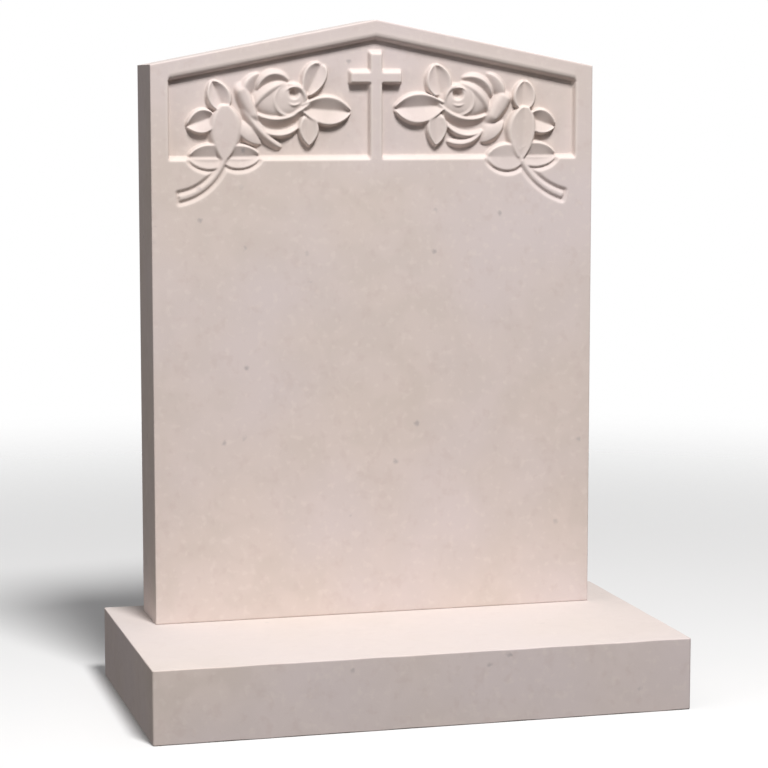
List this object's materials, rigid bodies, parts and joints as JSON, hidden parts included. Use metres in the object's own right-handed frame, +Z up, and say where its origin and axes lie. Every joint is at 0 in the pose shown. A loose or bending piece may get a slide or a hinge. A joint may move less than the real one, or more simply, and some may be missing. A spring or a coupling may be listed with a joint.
{
  "type": "carved headstone",
  "caption": "Limestone headstone with a low gabled top, a sunk panel carved with a plain cross between rose sprays, standing on a plain rectangular base slab.",
  "frame": {"origin": "middle of the base's underside, where it meets the ground", "axes": "+Z up, +X to the right of a person facing the carved side, +Y from the carved side to the back"},
  "size_m": [0.71, 0.39, 0.897],
  "materials": {
    "limestone": "fine rubbed"
  },
  "bodies": {
    "root": {"base": "limestone", "headstone": "limestone"}
  },
  "joints": []
}
